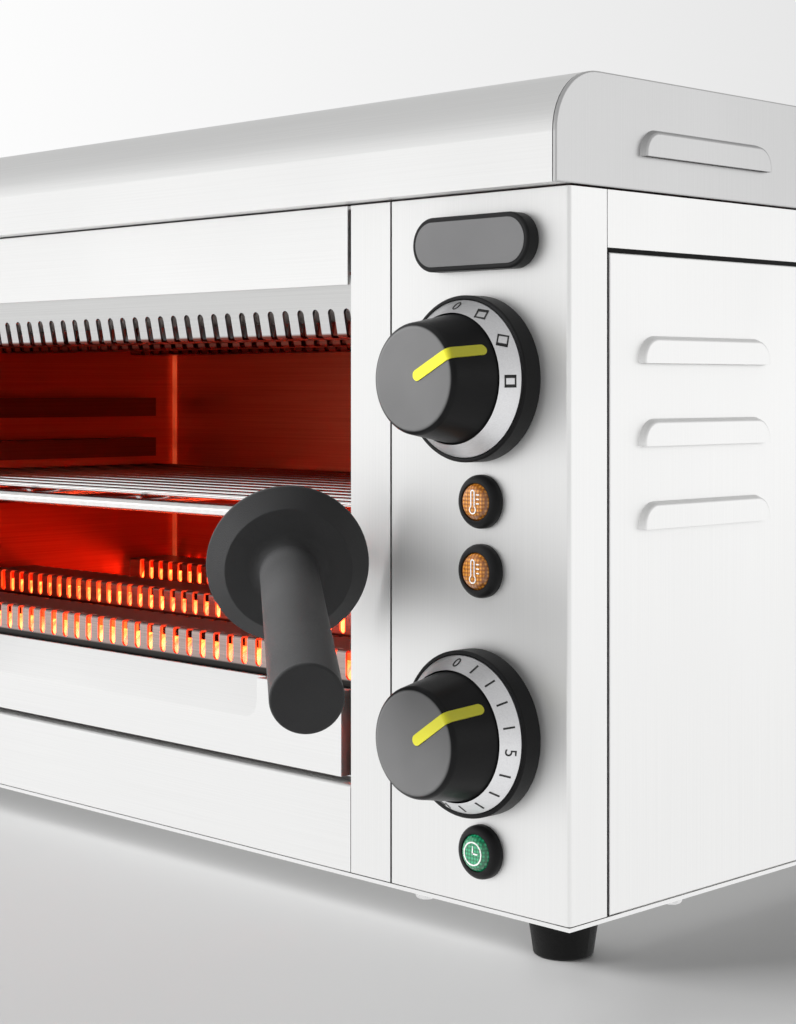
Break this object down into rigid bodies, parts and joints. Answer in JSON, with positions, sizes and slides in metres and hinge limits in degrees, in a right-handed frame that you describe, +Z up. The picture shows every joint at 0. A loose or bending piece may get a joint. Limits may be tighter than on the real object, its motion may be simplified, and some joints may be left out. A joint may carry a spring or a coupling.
{
  "type": "salamander grill",
  "caption": "Countertop salamander grill: open steel chamber with slotted heat guards, sliding wire rack with handles, pull-out crumb tray, selector and timer knobs.",
  "frame": {"origin": "on the floor under the middle of the casing, half-way between the four feet", "axes": "+X to the right as the user faces the grill, +Y to the back, +Z up"},
  "size_m": [0.5107, 0.3677, 0.2545],
  "materials": {
    "stainless": "brushed satin",
    "chamber_steel": "bright rolled",
    "guard_steel": "bright rolled",
    "tray_steel": "bright rolled",
    "rack_chrome": "polished",
    "black_grip": "fine grain",
    "black_plastic": "satin",
    "lime_pointer": "gloss",
    "silver_scale": "satin",
    "shaft_steel": "turned",
    "screw_steel": "bright",
    "rubber": "matt",
    "amber_lens": "faceted",
    "green_lens": "faceted",
    "lamp_body": "matt",
    "quartz": "clear",
    "coil": "glowing wire",
    "ceramic": "glazed ceramic",
    "wire_sleeve": "glass-fibre sleeve"
  },
  "bodies": {
    "casing": {"base_pan": "stainless", "plinth_panel": "stainless", "header_panel": "stainless", "left_column": "stainless", "right_column": "stainless", "control_panel": "stainless", "side_cover_left": "stainless", "side_cover_right": "stainless", "side_rail_left": "stainless", "side_rail_right": "stainless", "back_panel": "stainless", "lid_skin": "stainless", "lid_end_left": "stainless", "lid_end_right": "stainless", "chamber_wall_left": "chamber_steel", "chamber_wall_right": "chamber_steel", "chamber_back": "chamber_steel", "chamber_ceiling": "chamber_steel", "tray_shelf": "chamber_steel", "rack_ledges_left": "chamber_steel", "rack_ledges_right": "chamber_steel", "lower_guard_front": "guard_steel", "lower_guard_middle": "guard_steel", "lower_guard_rear": "guard_steel", "upper_guard_front": "guard_steel", "upper_guard_middle": "guard_steel", "upper_guard_rear": "guard_steel", "selector_dial": "black_plastic", "timer_dial": "black_plastic", "lamp_bezels": "black_plastic", "badge_plate": "black_plastic", "selector_switch": "black_plastic", "cord_gland": "black_plastic", "selector_scale_ring": "silver_scale", "timer_scale_ring": "silver_scale", "timer_movement": "shaft_steel", "casing_screws": "screw_steel", "foot_screws": "screw_steel", "feet": "rubber", "amber_lenses": "amber_lens", "green_lens": "green_lens", "lamp_bodies": "lamp_body", "quartz_tubes": "quartz", "heating_coils": "coil", "tube_end_caps": "ceramic", "terminal_block": "ceramic", "wiring_loom": "wire_sleeve"},
    "rack": {"rack_frame": "rack_chrome", "rack_wires": "rack_chrome", "handle_stem_left": "rack_chrome", "handle_stem_right": "rack_chrome", "handle_left": "black_grip", "handle_right": "black_grip"},
    "crumb_tray": {"crumb_tray": "tray_steel"},
    "selector_knob": {"selector_knob": "black_plastic", "selector_pointer": "lime_pointer", "selector_shaft": "shaft_steel"},
    "timer_knob": {"timer_knob": "black_plastic", "timer_pointer": "lime_pointer", "timer_shaft": "shaft_steel"}
  },
  "joints": [
    {"name": "rack_slide", "type": "slide", "parent": "casing", "child": "rack", "axis": [0, -1, 0], "range_m": [0, 0.125]},
    {"name": "crumb_tray_slide", "type": "slide", "parent": "casing", "child": "crumb_tray", "axis": [0, -1, 0], "range_m": [0, 0.15]},
    {"name": "selector_turn", "type": "hinge", "parent": "casing", "child": "selector_knob", "pos_m": [0.185, -0.13, 0.167], "axis": [0, 1, 0], "range_deg": [-63, 27]},
    {"name": "timer_turn", "type": "hinge", "parent": "casing", "child": "timer_knob", "pos_m": [0.185, -0.13, 0.0638], "axis": [0, 1, 0], "range_deg": [-56, 234]}
  ]
}
